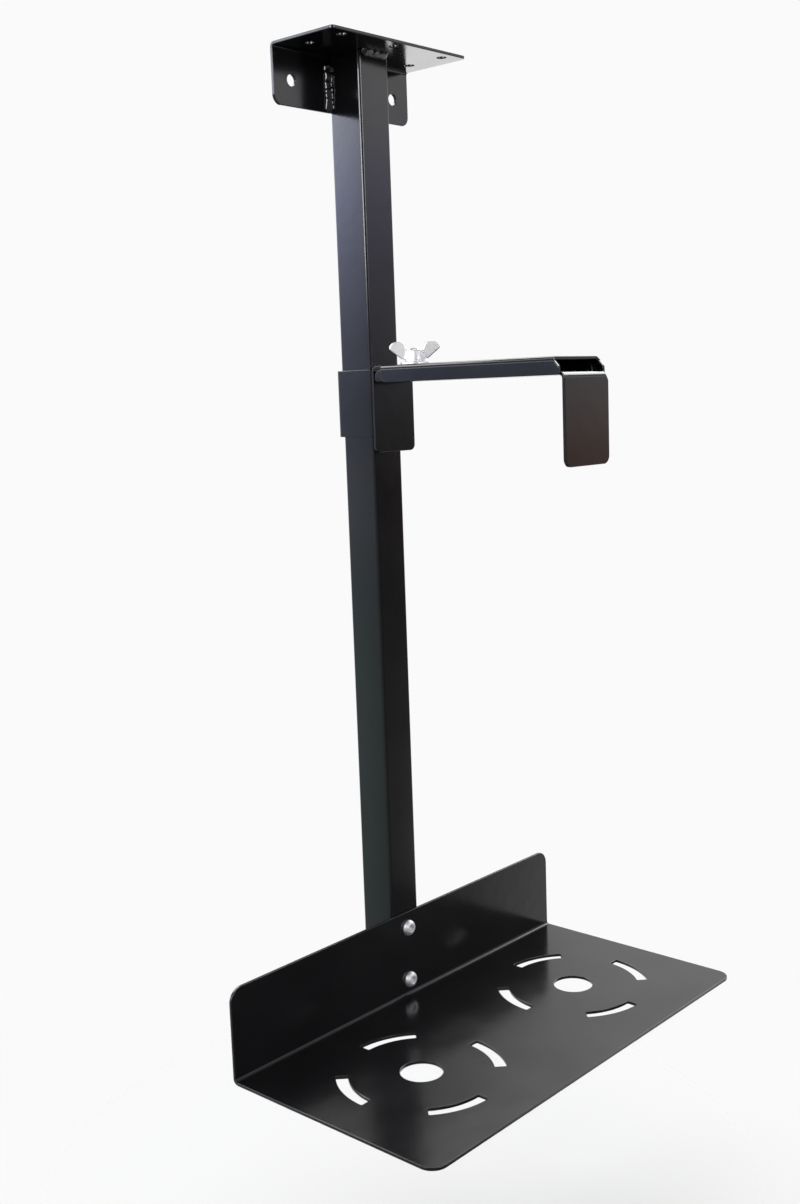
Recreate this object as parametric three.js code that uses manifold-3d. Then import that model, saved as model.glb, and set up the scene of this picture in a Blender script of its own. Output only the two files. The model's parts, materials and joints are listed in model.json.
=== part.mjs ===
// A holder that hangs a computer tower under a desk. A square upright is welded under a plate that
// screws to the desk, a perforated tray is bolted to its foot, and a sleeve slides on it with a
// telescoping clamp arm that a wing nut locks.
//
// Lengths are in millimetres. The origin is on the axis of the upright, in the face that lies
// against the desk. +Z is up, X runs along the tray, and the tower stands on the -Y side.

import * as THREE from 'three';
import { mergeVertices } from 'three/addons/utils/BufferGeometryUtils.js';
import Module from 'manifold-3d';

const wasm = await Module();
wasm.setup();

// Upright, a square steel tube
const tubeWidth = 26.5;
const tubeWall = 1.5;
const tubeCorner = 2;
const tubeLength = 611;
const tubeRelief = 2.2;

// Desk bracket, a plate with a flange bent down behind the upright
const bracketSheet = 2;
const bracketBend = 1.5;
const bracketWidth = 121;
const bracketDepth = 52.75;
const bracketFlange = 36;
const bracketFrontCorner = 3;
const bracketFlangeCorner = 6;
const deskHole = 6;
const deskHoleSide = 15.5;
const deskHoleFront = 7.5;
const deskHolePitch = 27;
const wallHole = 7;
const wallHoleSide = 15;
const wallHoleDrop = 20.5;

// Weld beads
const weldLeg = 4;
const weldRipple = 1.4;
const weldRippleShare = 0.14;
const weldEndShare = 0.55;
const weldInset = 4;
const armWeldLeg = 2.4;

// Tray, a floor with a flange bent up against the upright
const traySheet = 2;
const trayBend = 1.8;
const trayWidth = 315;
const trayDepth = 158.25;
const trayFlange = 59.5;
const trayFrontCorner = 10;
const trayFlangeCorner = 9;
const trayBoltEdge = 11;
const trayBoltPitch = 36.5;
const ventSideShare = 0.5;
const ventBackShare = 0.5036;
const ventHole = 26;
const ventSlotInner = 44.3;
const ventSlotWidth = 7.3;
const ventSlots = 4;
const ventSlotAngle = THREE.MathUtils.degToRad(43.5);
const ventFirstAngle = THREE.MathUtils.degToRad(45.5);

// Plug in the foot of the upright
const capRim = 1.5;
const capDepth = 4.5;
const capWall = 1.6;

// M6 hardware
const threadSize = 6;
const threadClearance = 0.6;
const fit = 0.3;
const headWidth = 10.5;
const headHeight = 3.3;
const headCrown = 5;
const socketFlats = 4;
const socketDepth = 2;
const nutFlats = 10;
const nutHeight = 5;
const nutChamfer = 0.6;
const washerWidth = 12;
const washerHeight = 1.6;
const threadTail = 2;

// Sleeve, with the drop at which it is parked
const sleeveClearance = 0.4;
const sleeveWall = 2;
const sleeveCorner = 3;
const sleeveHeight = 42;
const sleeveDrop = 195;

// Fixed arm, a channel open below with a jaw bent down against the sleeve
const armSheet = 2;
const armBend = 1;
const armWidth = 46;
const armHeight = 10.5;
const armReach = 148.35;
const armFlangeSetback = 14;
const armHeelCorner = 4;
const armToeCorner = 6;
const jawBend = 2;
const innerJawWidth = 37;
const innerJawHeight = 54;
const innerJawShift = 2.8;
const innerJawCorner = 4;

// Sliding arm, a channel open above that runs inside the fixed one, with the outer jaw
const slideClearance = 0.3;
const slideHeadroom = 1;
const slideSetback = 7.5;
const slideHeelCorner = 4;
const slideToeCorner = 5;
const slideToeSetback = 6;
const jawGap = 0.5;
const outerJawOverhang = 2.1;
const outerJawHeight = 62;
const outerJawCorner = 5;
const outerJawShoulder = 3.2;
const outerJawBlend = 1.2;
const armTravel = 90;

// Clamp: a stud on the sliding arm, a broad washer and a wing nut
const studSetback = 23;
const studCollarWidth = 9;
const studCollarHeight = 1.2;
const clampWasherWidth = 18;
const clampWasherHeight = 1.6;
const wingHubWidth = 12.5;
const wingHubTop = 9.5;
const wingHubHeight = 7.5;
const wingSpan = 32;
const wingHeight = 13.5;
const wingBlade = 9.5;
const wingToe = 6.5;
const wingSheet = 1.8;
const wingAngle = THREE.MathUtils.degToRad(-47.8);

// Set screw that locks the sleeve
const lockHeadHeight = 4;
const lockHeadGap = 2.5;

// Facets
const arcSteps = 6;
const ventSteps = 7;
const roundSteps = 24;
const wireSteps = 16;
const overrun = 1;
const flatSides = 6;

// Sizes that follow
const tubeHalf = tubeWidth / 2;
const bracketBack = tubeHalf + bracketSheet;
const bracketFront = bracketBack - bracketDepth;
const footLevel = -(bracketSheet + tubeLength);
const sleeveHalf = tubeHalf + sleeveClearance + sleeveWall;
const armEnd = -(sleeveHalf + armReach);
const armFlangeStart = -(sleeveHalf + armFlangeSetback);
const armBottom = armSheet - armHeight;
const slideStart = -(sleeveHalf + slideSetback);
const slideWidth = armWidth - 2 * (armSheet + slideClearance);
const slideFloor = armBottom + armSheet;
const outerJawBack = armEnd - jawGap;
const outerJawFront = outerJawBack - armSheet;
const studPlace = -(sleeveHalf + studSetback);
const studHole = threadSize + threadClearance;
const wingSeat = armSheet + clampWasherHeight;

// Finishes
const powderCoat = { color: 0x1b1d21, roughness: 0.42, metalness: 0.25 };
const zinc = { color: 0xc9ccd0, roughness: 0.3, metalness: 0.9 };
const weldMetal = { color: 0x2b2d31, roughness: 0.28, metalness: 0.55 };
const plastic = { color: 0x121315, roughness: 0.6, metalness: 0 };

const FRAMES = {
  x: new THREE.Matrix4().set(0, 0, 1, 0, 1, 0, 0, 0, 0, 1, 0, 0, 0, 0, 0, 1),
  y: new THREE.Matrix4().set(1, 0, 0, 0, 0, 0, -1, 0, 0, 1, 0, 0, 0, 0, 0, 1),
  z: new THREE.Matrix4(),
};

// The signed volume of a triangle mesh, which is negative where its faces point inward.
function signedVolume(places, faces) {
  const corner = (n) => new THREE.Vector3().fromArray(places, 3 * faces[n]);
  let sum = 0;
  for (let n = 0; n < faces.length; n += 3) {
    sum += corner(n).dot(corner(n + 1).cross(corner(n + 2)));
  }
  return sum;
}

// A closed mesh as a solid that can be joined and cut.
function solid(geometry) {
  const bare = geometry.clone();
  bare.deleteAttribute('normal');
  bare.deleteAttribute('uv');
  const merged = mergeVertices(bare);
  const places = merged.attributes.position.array;
  const faces = [];
  for (let n = 0; n < merged.index.count; n += 3) {
    const [a, b, c] = merged.index.array.slice(n, n + 3);
    if (a !== b && b !== c && c !== a) faces.push(a, b, c);
  }
  if (signedVolume(places, faces) < 0) faces.reverse();
  const mesh = new wasm.Mesh({ numProp: 3, vertProperties: places, triVerts: new Uint32Array(faces) });
  return new wasm.Manifold(mesh);
}

// A named piece of one material.
function piece(name, body, finish) {
  const { vertProperties, triVerts } = body.getMesh();
  const geometry = new THREE.BufferGeometry();
  geometry.setAttribute('position', new THREE.BufferAttribute(vertProperties, 3));
  geometry.setIndex(new THREE.BufferAttribute(triVerts, 1));
  geometry.computeVertexNormals();
  const mesh = new THREE.Mesh(geometry, new THREE.MeshStandardMaterial(finish));
  mesh.name = name;
  return mesh;
}

// A shape run along an axis between two places: its plane is YZ for x, XZ for y and XY for z.
function prism(shape, axis, low, high, curveSegments = arcSteps / 2) {
  const settings = { depth: high - low, bevelEnabled: false, curveSegments };
  const geometry = new THREE.ExtrudeGeometry(shape, settings);
  geometry.applyMatrix4(FRAMES[axis]);
  const start = { x: [low, 0, 0], y: [0, high, 0], z: [0, 0, low] }[axis];
  return solid(geometry.translate(...start));
}

// A profile of [radius, height] points turned about an axis; it starts and ends on that axis.
function turned(profile, axis = 'z', steps = roundSteps) {
  const geometry = new THREE.LatheGeometry(profile.map(([r, h]) => new THREE.Vector2(r, h)), steps);
  if (axis === 'z') geometry.rotateX(Math.PI / 2);
  if (axis === 'x') geometry.rotateZ(-Math.PI / 2);
  return solid(geometry);
}

// A round bar between two heights.
function bar(width, low, high, axis = 'z', steps = roundSteps) {
  return turned([[0, low], [width / 2, low], [width / 2, high], [0, high]], axis, steps);
}

// A closed outline of corners [u, v, radius], each rounded by its radius.
function outline(corners) {
  const points = [];
  corners.forEach(([u, v, radius = 0], n) => {
    const corner = new THREE.Vector2(u, v);
    if (radius === 0) {
      points.push(corner);
      return;
    }
    const before = corners.at(n - 1);
    const after = corners[(n + 1) % corners.length];
    const back = new THREE.Vector2(before[0], before[1]).sub(corner).normalize();
    const ahead = new THREE.Vector2(after[0], after[1]).sub(corner).normalize();
    const half = Math.acos(back.dot(ahead)) / 2;
    const inward = back.clone().add(ahead).normalize();
    const middle = corner.clone().addScaledVector(inward, radius / Math.sin(half));
    const from = corner.clone().addScaledVector(back, radius / Math.tan(half)).sub(middle);
    const sweep = Math.sign(ahead.cross(back)) * (Math.PI - 2 * half);
    for (let k = 0; k <= arcSteps; k += 1) {
      points.push(from.clone().rotateAround(new THREE.Vector2(), (sweep * k) / arcSteps).add(middle));
    }
  });
  return new THREE.Shape(points);
}

// A rectangle with every corner rounded alike, or one radius for each corner from the low one.
function rectangle(left, right, low, high, radii = [0, 0, 0, 0]) {
  const places = [[left, low], [right, low], [right, high], [left, high]];
  return outline(places.map(([u, v], n) => [u, v, radii[n]]));
}

function square(width, corner) {
  return rectangle(-width / 2, width / 2, -width / 2, width / 2, Array(4).fill(corner));
}

// A round or slotted hole's outline.
function slot(width, u, low, high = low) {
  const path = new THREE.Shape();
  path.absarc(u, low, width / 2, Math.PI, 2 * Math.PI);
  path.absarc(u, high, width / 2, 0, Math.PI);
  return path;
}

// A hexagon across its flats.
function hexagon(flats) {
  const radius = flats / 2 / Math.cos(Math.PI / flatSides);
  const corner = (n) => (2 * Math.PI * n) / flatSides;
  const point = (_, n) => [radius * Math.cos(corner(n)), radius * Math.sin(corner(n))];
  return outline(Array.from({ length: flatSides }, point));
}

// A rippled fillet in the corner of two faces. The axes give the directions of its two legs and
// of its run.
function bead(leg, length, axes) {
  const [first, second, along] = axes;
  const rings = Math.round((2 * length) / weldRipple);
  const arc = arcSteps - 1;
  const places = [];
  for (let ring = 0; ring <= rings; ring += 1) {
    const taper = ring === 0 || ring === rings ? weldEndShare : 1;
    const reach = leg * taper * (ring % 2 ? 1 : 1 - weldRippleShare);
    const corner = along.clone().multiplyScalar((length * ring) / rings);
    places.push(corner);
    for (let k = 0; k <= arc; k += 1) {
      const turn = (Math.PI / 2) * (k / arc);
      const crown = reach * (1 - weldRippleShare * 2 * Math.sin(2 * turn));
      const place = corner.clone().addScaledVector(first, k === arc ? 0 : crown * Math.cos(turn));
      places.push(place.addScaledVector(second, k === 0 ? 0 : crown * Math.sin(turn)));
    }
  }
  const around = arc + 2;
  const faces = [];
  for (let ring = 0; ring < rings; ring += 1) {
    for (let k = 0; k < around; k += 1) {
      const a = ring * around + k;
      const b = ring * around + ((k + 1) % around);
      faces.push(a, b, b + around, a, b + around, a + around);
    }
  }
  for (let k = 1; k < around - 1; k += 1) {
    const last = rings * around;
    faces.push(0, k + 1, k, last, last + k, last + k + 1);
  }
  const geometry = new THREE.BufferGeometry().setFromPoints(places);
  geometry.setIndex(faces);
  return solid(geometry);
}

const toRight = new THREE.Vector3(1, 0, 0);
const toLeft = new THREE.Vector3(-1, 0, 0);
const toBack = new THREE.Vector3(0, 1, 0);
const toFront = new THREE.Vector3(0, -1, 0);
const down = new THREE.Vector3(0, 0, -1);

// Fasteners, each along +Z from the face that it seats on, unless an axis is named

function nut(axis, flats = nutFlats, height = nutHeight) {
  const rim = flats / 2 / Math.cos(Math.PI / flatSides);
  const inner = flats / 2;
  const barrel = turned([
    [0, 0], [inner, 0], [rim, nutChamfer], [rim, height - nutChamfer], [inner, height], [0, height],
  ], axis);
  const blank = prism(hexagon(flats), axis, 0, height);
  const bore = bar(threadSize + 2 * fit, -overrun, height + overrun, axis, wireSteps);
  return blank.intersect(barrel).subtract(bore);
}

function washer(axis, width, height) {
  const bore = bar(threadSize + 2 * fit, -overrun, height + overrun, axis, wireSteps);
  return bar(width, 0, height, axis).subtract(bore);
}

// Button head with a hexagon socket. The head is on the -Y side of zero, the shank on the other.
function buttonBolt(shank) {
  const crown = [];
  const half = headWidth / 2;
  for (let k = 0; k <= headCrown; k += 1) {
    const turn = (Math.PI / 2) * (k / headCrown);
    const radius = socketFlats / 2 + (half - socketFlats / 2) * Math.cos(turn);
    crown.push([radius, -headHeight * Math.sin(turn)]);
  }
  const thread = threadSize / 2;
  const body = turned([
    [0, shank], [thread - nutChamfer, shank], [thread, shank - nutChamfer], [thread, 0],
    ...crown, [0, -headHeight],
  ], 'y');
  return body.subtract(prism(hexagon(socketFlats), 'y', -headHeight - overrun, socketDepth - headHeight));
}

// Stand: desk bracket, upright and their welds

function topBracket() {
  const profile = outline([
    [bracketFront, -bracketSheet], [tubeHalf, -bracketSheet, bracketBend], [tubeHalf, -bracketFlange],
    [bracketBack, -bracketFlange], [bracketBack, 0, bracketBend + bracketSheet], [bracketFront, 0],
  ]);
  const side = bracketWidth / 2;
  const frontCorners = [bracketFrontCorner, bracketFrontCorner, 0, 0];
  const flangeCorners = [bracketFlangeCorner, bracketFlangeCorner, 0, 0];
  const plan = rectangle(-side, side, bracketFront, bracketBack, frontCorners);
  const face = rectangle(-side, side, -bracketFlange, 0, flangeCorners);
  let body = prism(profile, 'x', -side, side);
  body = body.intersect(prism(plan, 'z', -bracketFlange, 0));
  body = body.intersect(prism(face, 'y', bracketFront, bracketBack));
  const across = side - deskHoleSide;
  const front = bracketFront + deskHoleFront;
  const back = front + deskHolePitch;
  for (const [x, y] of [[-across, front], [0, front], [across, front], [-across, back], [across, back]]) {
    body = body.subtract(prism(slot(deskHole, x, y), 'z', -bracketSheet - overrun, overrun));
  }
  for (const x of [-(side - wallHoleSide), side - wallHoleSide]) {
    const hole = slot(wallHole, x, -wallHoleDrop);
    body = body.subtract(prism(hole, 'y', tubeHalf - overrun, bracketBack + overrun));
  }
  return piece('top_bracket', body, powderCoat);
}

function boltLevels() {
  const top = footLevel - traySheet + trayFlange - trayBoltEdge;
  return [top, top - trayBoltPitch];
}

function upright() {
  const top = -bracketSheet;
  let body = prism(square(tubeWidth, tubeCorner), 'z', footLevel, top);
  const bore = square(tubeWidth - 2 * tubeWall, tubeCorner - tubeWall);
  body = body.subtract(prism(bore, 'z', footLevel - overrun, top + overrun));
  const relief = outline([
    [tubeHalf - tubeRelief, top + overrun], [tubeHalf - tubeRelief, top], [tubeHalf, top - tubeRelief],
    [tubeHalf + overrun, top - tubeRelief], [tubeHalf + overrun, top + overrun],
  ]);
  body = body.subtract(prism(relief, 'x', -tubeHalf - overrun, tubeHalf + overrun));
  for (const level of boltLevels()) {
    const hole = bar(threadSize + threadClearance, -tubeHalf - overrun, tubeHalf + overrun, 'y', wireSteps);
    body = body.subtract(hole.translate([0, 0, level]));
  }
  return piece('upright_tube', body, powderCoat);
}

function bracketWelds() {
  const run = bracketFlange - bracketSheet - weldInset;
  const top = -bracketSheet - weldInset;
  const left = bead(weldLeg, run, [toLeft, toFront, down]).translate([-tubeHalf, tubeHalf, top]);
  const right = bead(weldLeg, run, [toRight, toFront, down]).translate([tubeHalf, tubeHalf, top]);
  const width = tubeWidth - 2 * tubeCorner;
  const front = bead(weldLeg, width, [toFront, down, toRight]);
  return [
    piece('bracket_weld_left', left, weldMetal),
    piece('bracket_weld_right', right, weldMetal),
    piece('bracket_weld_front', front.translate([-width / 2, -tubeHalf, -bracketSheet]), weldMetal),
  ];
}

function endCap() {
  const bore = tubeWidth - 2 * (tubeWall + fit);
  let body = prism(square(tubeWidth, tubeCorner), 'z', -capRim, 0);
  body = body.add(prism(square(bore, tubeCorner), 'z', -capRim / 2, capDepth));
  body = body.subtract(prism(square(bore - 2 * capWall, tubeCorner / 2), 'z', 0, capDepth + overrun));
  const mesh = piece('tube_end_cap', body, plastic);
  mesh.position.z = footLevel;
  return mesh;
}

// Tray and its fasteners, on the floor's upper face

function vent(x, y) {
  const cuts = [slot(ventHole, x, y)];
  for (let n = 0; n < ventSlots; n += 1) {
    const start = ventFirstAngle + (2 * Math.PI * n) / ventSlots;
    const arc = new THREE.Shape();
    arc.absarc(x, y, ventSlotInner + ventSlotWidth, start, start + ventSlotAngle);
    arc.absarc(x, y, ventSlotInner, start + ventSlotAngle, start, true);
    cuts.push(arc);
  }
  return cuts;
}

function tray() {
  const back = -tubeHalf;
  const face = back - traySheet;
  const front = back - trayDepth;
  const rim = trayFlange - traySheet;
  const side = trayWidth / 2;
  const profile = outline([
    [front, 0], [face, 0, trayBend], [face, rim], [back, rim], [back, -traySheet, trayBend + traySheet],
    [front, -traySheet],
  ]);
  const plan = rectangle(-side, side, front, back, [trayFrontCorner, trayFrontCorner, 0, 0]);
  const rear = rectangle(-side, side, -traySheet, rim, [0, 0, trayFlangeCorner, trayFlangeCorner]);
  let body = prism(profile, 'x', -side, side);
  body = body.intersect(prism(plan, 'z', -traySheet, rim));
  body = body.intersect(prism(rear, 'y', front, back));
  const across = ventSideShare * side;
  const middle = face + ventBackShare * (front - face);
  for (const cut of [...vent(-across, middle), ...vent(across, middle)]) {
    body = body.subtract(prism(cut, 'z', -traySheet - overrun, overrun, ventSteps));
  }
  for (const level of boltLevels()) {
    const hole = bar(threadSize + threadClearance, face - overrun, back + overrun, 'y', wireSteps);
    body = body.subtract(hole.translate([0, 0, level - footLevel]));
  }
  const mesh = piece('tray', body, powderCoat);
  mesh.position.z = footLevel;
  return mesh;
}

function trayFasteners() {
  const shank = traySheet + tubeWidth + washerHeight + nutHeight + threadTail;
  const names = ['upper', 'lower'];
  return boltLevels().flatMap((level, n) => {
    const bolt = piece(`tray_bolt_${names[n]}`, buttonBolt(shank), zinc);
    bolt.position.set(0, -tubeHalf - traySheet, level);
    const ring = piece(`tray_washer_${names[n]}`, washer('y', washerWidth, washerHeight), zinc);
    ring.position.set(0, tubeHalf, level);
    const hexNut = piece(`tray_nut_${names[n]}`, nut('y'), zinc);
    hexNut.position.set(0, tubeHalf + washerHeight, level);
    return [bolt, ring, hexNut];
  });
}

// Carriage, measured from the sleeve's upper rim

function sleeve() {
  let body = prism(square(2 * sleeveHalf, sleeveCorner), 'z', -sleeveHeight, 0);
  const bore = square(tubeWidth + 2 * sleeveClearance, sleeveCorner - sleeveWall);
  body = body.subtract(prism(bore, 'z', -sleeveHeight - overrun, overrun));
  const hole = bar(studHole, tubeHalf - overrun, sleeveHalf + overrun, 'x', wireSteps);
  body = body.subtract(hole.translate([0, 0, -sleeveHeight / 2]));
  return piece('sleeve', body, powderCoat);
}

function channel(half, floorLevel, rimLevel, bend) {
  const inner = half - armSheet;
  const step = Math.sign(rimLevel - floorLevel) * armSheet;
  return outline([
    [-half, rimLevel], [-half, floorLevel, bend + armSheet], [half, floorLevel, bend + armSheet],
    [half, rimLevel], [inner, rimLevel], [inner, floorLevel + step, bend],
    [-inner, floorLevel + step, bend], [-inner, rimLevel],
  ]);
}

function fixedArm() {
  const half = armWidth / 2;
  const heel = -sleeveHalf;
  let rails = prism(channel(half, armSheet, armBottom, armBend), 'y', armEnd, armFlangeStart);
  const side = rectangle(
    armEnd, armFlangeStart, armBottom, armSheet,
    [0, armHeelCorner, armHeelCorner, armToeCorner],
  );
  rails = rails.intersect(prism(side, 'x', -half, half));
  const jawFoot = armSheet - innerJawHeight;
  const bent = outline([
    [armFlangeStart - armFlangeSetback, 0], [heel - armSheet, 0, jawBend], [heel - armSheet, jawFoot],
    [heel, jawFoot], [heel, armSheet, jawBend + armSheet], [armFlangeStart - armFlangeSetback, armSheet],
  ]);
  const jawLeft = innerJawShift - innerJawWidth / 2;
  const jawRight = innerJawShift + innerJawWidth / 2;
  let jaw = prism(bent, 'x', jawLeft, jawRight);
  const face = rectangle(jawLeft, jawRight, jawFoot, armSheet, [innerJawCorner, innerJawCorner, 0, 0]);
  jaw = jaw.intersect(prism(face, 'y', armFlangeStart - armFlangeSetback, heel));
  const track = slot(studHole, 0, studPlace - armTravel, studPlace);
  const body = rails.add(jaw).subtract(prism(track, 'z', -overrun, armSheet + overrun));
  return piece('fixed_arm', body, powderCoat);
}

function armWelds() {
  const width = 2 * (sleeveHalf - sleeveCorner);
  const low = bead(armWeldLeg, width, [toBack, down, toRight]);
  return piece('sleeve_weld', low.translate([-width / 2, -sleeveHalf, -sleeveHeight]), weldMetal);
}

function lockNut() {
  const mesh = piece('lock_nut', nut('x'), powderCoat);
  mesh.position.set(sleeveHalf, 0, -sleeveHeight / 2);
  return mesh;
}

function lockScrew() {
  const tip = tubeHalf + fit;
  const seat = sleeveHalf + nutHeight + lockHeadGap;
  const shank = bar(threadSize, tip, seat + lockHeadHeight / 2, 'x', wireSteps);
  const head = prism(hexagon(nutFlats), 'x', seat, seat + lockHeadHeight);
  const mesh = piece('lock_screw', shank.add(head), zinc);
  mesh.position.z = -sleeveHeight / 2;
  return mesh;
}

// Slider: the sliding arm and its clamp

function slidingArm() {
  const half = slideWidth / 2;
  const rim = -slideHeadroom;
  const toe = armEnd + slideToeSetback;
  let rails = prism(channel(half, armBottom, rim, armBend), 'y', toe, slideStart);
  const side = rectangle(toe, slideStart, armBottom, rim, [0, slideHeelCorner, 0, slideToeCorner]);
  rails = rails.intersect(prism(side, 'x', -half, half));
  const jawFoot = armSheet - outerJawHeight;
  const inside = toe + armSheet;
  const bent = outline([
    [inside, armBottom], [inside, slideFloor], [outerJawFront, slideFloor, jawBend + armSheet],
    [outerJawFront, jawFoot], [outerJawBack, jawFoot], [outerJawBack, armBottom, jawBend],
  ].reverse());
  const wide = half + outerJawOverhang;
  const shoulder = armBottom - jawGap;
  const widest = shoulder - outerJawShoulder;
  const face = outline([
    [-half, jawFoot, outerJawCorner], [wide, jawFoot, outerJawCorner], [wide, widest, outerJawBlend],
    [half, shoulder], [half, slideFloor], [-half, slideFloor],
  ]);
  let jaw = prism(bent, 'x', -half, wide);
  jaw = jaw.intersect(prism(face, 'y', outerJawFront, inside));
  return piece('sliding_arm', rails.add(jaw), powderCoat);
}

function clampStud() {
  const collar = studCollarWidth / 2;
  const thread = threadSize / 2;
  const top = wingSeat + wingHubHeight + threadTail / 2;
  const profile = [
    [0, slideFloor], [collar, slideFloor], [collar, slideFloor + studCollarHeight],
    [thread, slideFloor + studCollarHeight], [thread, top - nutChamfer], [thread - nutChamfer, top],
    [0, top],
  ];
  return piece('clamp_stud', turned(profile, 'z', wireSteps), zinc);
}

function clampWasher() {
  const mesh = piece('clamp_washer', washer('z', clampWasherWidth, clampWasherHeight), zinc);
  mesh.position.z = armSheet;
  return mesh;
}

// Wing nut: a tapered hub and two blades that rise outward to round tips.
function wingNut() {
  const foot = wingHubWidth / 2;
  const neck = wingHubTop / 2;
  const bore = bar(threadSize + 2 * fit, -overrun, wingHubHeight + overrun, 'z', wireSteps);
  const hub = turned([
    [0, 0], [foot, 0], [foot, wingHubHeight / 3], [neck, wingHubHeight], [0, wingHubHeight],
  ]);
  const tip = wingSpan / 2;
  const lobe = wingBlade / 2;
  const blade = outline([
    [0, wingHubHeight / 5], [foot, wingHubHeight / 5], [tip, wingToe, lobe / 3], [tip, wingHeight, lobe],
    [tip - wingBlade, wingHeight, lobe], [neck, wingHubHeight / 2], [0, wingHubHeight / 2],
  ]);
  const wing = prism(blade, 'y', -wingSheet / 2, wingSheet / 2);
  const body = hub.add(wing).add(wing.mirror([1, 0, 0])).subtract(bore);
  const mesh = piece('wing_nut', body, zinc);
  mesh.rotation.z = wingAngle;
  mesh.position.z = wingSeat;
  return mesh;
}

const slider = new THREE.Group();
const clamp = new THREE.Group();
clamp.position.y = studPlace;
clamp.add(clampStud(), clampWasher(), wingNut());
slider.add(slidingArm(), clamp);

const carriage = new THREE.Group();
carriage.position.z = -sleeveDrop;
carriage.add(sleeve(), fixedArm(), armWelds(), lockNut(), lockScrew(), slider);

const holder = new THREE.Group();
holder.add(topBracket(), upright(), ...bracketWelds(), endCap());
holder.add(tray(), ...trayFasteners(), carriage);

export default holder;
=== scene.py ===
"""An under-desk computer tower holder in black powder coat, on a plain pale ground."""

import json
import math
import random

import bmesh
import bpy
from mathutils import Matrix, Vector, geometry, noise


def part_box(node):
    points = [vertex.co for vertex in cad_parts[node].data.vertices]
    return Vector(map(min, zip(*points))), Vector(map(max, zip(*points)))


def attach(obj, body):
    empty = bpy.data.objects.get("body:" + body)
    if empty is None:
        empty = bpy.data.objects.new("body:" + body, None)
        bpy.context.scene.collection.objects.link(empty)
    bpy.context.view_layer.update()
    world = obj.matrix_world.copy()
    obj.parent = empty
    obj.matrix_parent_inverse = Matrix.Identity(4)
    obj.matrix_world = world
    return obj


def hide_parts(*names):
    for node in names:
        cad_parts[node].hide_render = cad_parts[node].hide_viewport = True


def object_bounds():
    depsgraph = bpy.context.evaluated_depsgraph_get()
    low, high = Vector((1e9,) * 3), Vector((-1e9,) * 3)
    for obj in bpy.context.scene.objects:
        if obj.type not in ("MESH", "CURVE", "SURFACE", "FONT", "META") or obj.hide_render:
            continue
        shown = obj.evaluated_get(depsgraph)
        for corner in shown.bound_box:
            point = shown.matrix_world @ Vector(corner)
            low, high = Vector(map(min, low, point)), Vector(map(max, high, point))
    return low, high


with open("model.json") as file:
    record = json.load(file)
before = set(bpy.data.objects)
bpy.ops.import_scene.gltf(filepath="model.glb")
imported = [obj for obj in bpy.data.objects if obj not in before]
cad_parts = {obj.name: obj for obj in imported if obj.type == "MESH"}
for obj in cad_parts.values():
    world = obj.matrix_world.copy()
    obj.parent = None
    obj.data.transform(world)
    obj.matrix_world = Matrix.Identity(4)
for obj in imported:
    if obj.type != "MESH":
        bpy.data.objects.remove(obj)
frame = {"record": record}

cad_low, cad_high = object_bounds()

# Shapes are built in millimetres in the row frame and scaled once, when the mesh is made.
MM = 0.001
BODIES = {
    node: body for body, nodes in frame["record"]["behaviour"]["bodies"].items() for node in nodes
}

# Camera, solved from the straight edges of the photograph
CAMERA_PLACE = Vector((-0.6636, -0.6211, -0.2107))
CAMERA_AZIMUTH = math.radians(-47.768)
CAMERA_ELEVATION = math.radians(8.475)
CAMERA_ROLL = math.radians(-2.081)
SENSOR = 36.0
LENS = 41.75

# Ground, in metres: its drop under the object, its radius and the distances over which it fades
# out, then the share that is clear in its middle, its colour, and the white around it
FLOOR_DROP = 0.125
FLOOR_RADIUS = 1.3
FLOOR_FADE = (0.0, 0.5)
FLOOR_CLEAR = 0.45
FLOOR_ALBEDO = 0.83
WHITE = 0.955

# Lamps: place, aim, size and power. The card only shows in the glossy faces at the left.
KEY = ((0.3, 0.3, 1.6), (0, -0.08, -0.3), (1.2, 1.2), 3)
CARD = ((-1.0, -0.02, 0.13), (0, -0.02, 0.13), (0.5, 0.36), 6.8)

# Edges of the pieces after coating
SHEET_EDGE = 0.45
TUBE_EDGE = 0.45
EDGE_STEPS = 3
CORNER_STEPS = 9
BEND_STEPS = 12

# Angles in degrees up to which neighbouring faces are smoothed
SMOOTH = 34
WELD_SMOOTH = 60

# How far a place may lie off a line that it is on
SLACK = 0.001

# Upright
TUBE = 26.5
TUBE_WALL = 1.5
TUBE_CORNER = 2.0
TUBE_BORE_CORNER = 0.5
TUBE_TOP = -2.0
TUBE_FOOT = -613.0
CAP_THICK = 1.5
CAP_EDGE = 0.4

# How far the middle of a tube's face stands proud of its sides, and the places along a face
BOW = 0.12
FACE_STEPS = 8

# Sheet of every bent part
SHEET = 2.0

# Desk bracket
PLATE_SIDE = 60.5
PLATE_FRONT = -37.5
PLATE_BACK = 15.25
PLATE_DROP = 36.0
PLATE_BEND = 1.5
PLATE_CORNERS = (3, 3, 6, 6)
DESK_HOLES = ((-45, -30), (0, -30), (45, -30), (-45, -3), (45, -3))
DESK_HOLE = 6.0
WALL_HOLES = (-45.5, 45.5)
WALL_HOLE = 7.0
WALL_HOLE_DROP = 20.5

# Tray
TRAY_SIDE = 157.5
TRAY_FRONT = -171.5
TRAY_BACK = -13.25
TRAY_RISE = 59.5
TRAY_BEND = 1.8
TRAY_CORNER = 10.0
TRAY_FLANGE_CORNER = 9.0
VENTS = (-78.75, 78.75)
VENT_BACK = -93.94
VENT_HOLE = 26.0
VENT_INNER = 44.3
VENT_WIDE = 7.3
VENT_ANGLE = 43.5
VENT_FIRST = 45.5
BOLT_LEVELS = (-566.5, -603.0)
BOLT_TURNS = (0.35, 0.9)
BOLT_TAIL = 2.0

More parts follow.
